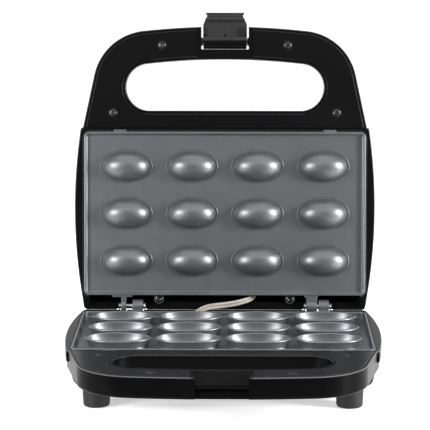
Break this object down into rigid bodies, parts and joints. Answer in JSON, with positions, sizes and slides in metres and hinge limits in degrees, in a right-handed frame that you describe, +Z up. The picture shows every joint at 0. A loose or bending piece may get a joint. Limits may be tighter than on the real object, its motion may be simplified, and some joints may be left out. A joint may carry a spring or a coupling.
{
  "type": "hinged snack maker",
  "caption": "Hinged electric snack maker with oval mould cups below, matching domes in the lid, looped front handles and a swing latch.",
  "frame": {"origin": "middle of the outline seen from above, at the underside of the feet, with the lid open", "axes": "+Z up, +Y towards the hinge at the rear, +X to the right seen from the handles"},
  "size_m": [0.2344, 0.2638, 0.274],
  "materials": {
    "shell_plastic": "glossy moulded",
    "cover_plastic": "satin gloss moulded",
    "screw_steel": "black zinc",
    "coated_casting": "satin non-stick coating on cast aluminium",
    "pin_steel": "bright",
    "heater_tube": "annealed",
    "spring_steel": "zinc plated",
    "shield_sheet": "aluminised sheet",
    "thermostat_body": "phenolic",
    "fuse_sleeve": "insulating sleeve",
    "white_insulator": "moulded",
    "wire_insulation": "silicone insulation",
    "bush_plastic": "moulded",
    "foot_plastic": "matte",
    "sleeve_glassfibre": "braided glass fibre",
    "red_lens": "translucent",
    "green_lens": "translucent",
    "lamp_glass": "clear",
    "latch_plastic": "satin moulded"
  },
  "bodies": {
    "base": {"base_shell": "shell_plastic", "base_handle_cover": "cover_plastic", "base_cover_screws": "screw_steel", "lower_plate": "coated_casting", "lower_plate_screws": "screw_steel", "lower_heater": "heater_tube", "lower_heater_clamps": "spring_steel", "lower_heat_shield": "shield_sheet", "thermostat": "thermostat_body", "thermal_fuse": "fuse_sleeve", "terminal_block": "white_insulator", "base_wiring": "wire_insulation", "cord_inlet_bush": "bush_plastic", "foot_front_left": "foot_plastic", "foot_front_right": "foot_plastic", "foot_rear_left": "foot_plastic", "foot_rear_right": "foot_plastic", "foot_screws": "screw_steel", "hinge_pin_left": "pin_steel", "hinge_pin_right": "pin_steel", "wire_sleeve": "sleeve_glassfibre"},
    "lid": {"lid_shell": "shell_plastic", "lid_handle_cover": "cover_plastic", "lid_cover_screws": "screw_steel", "upper_plate": "coated_casting", "upper_plate_screws": "screw_steel", "upper_heater": "heater_tube", "upper_heater_clamps": "spring_steel", "upper_heat_shield": "shield_sheet", "power_lamp_lens": "red_lens", "ready_lamp_lens": "green_lens", "lamp_holder": "white_insulator", "neon_lamps": "lamp_glass", "latch_pin": "pin_steel"},
    "latch": {"latch": "latch_plastic"}
  },
  "joints": [
    {"name": "lid_hinge", "type": "hinge", "parent": "base", "child": "lid", "pos_m": [0, 0.08631, 0.0468], "axis": [1, 0, 0], "range_deg": [0, 97.2], "deforming": ["wire_sleeve"]},
    {"name": "latch_pivot", "type": "hinge", "parent": "lid", "child": "latch", "pos_m": [0, 0.11461, 0.25167], "axis": [1, 0, 0], "range_deg": [0, 48]}
  ]
}
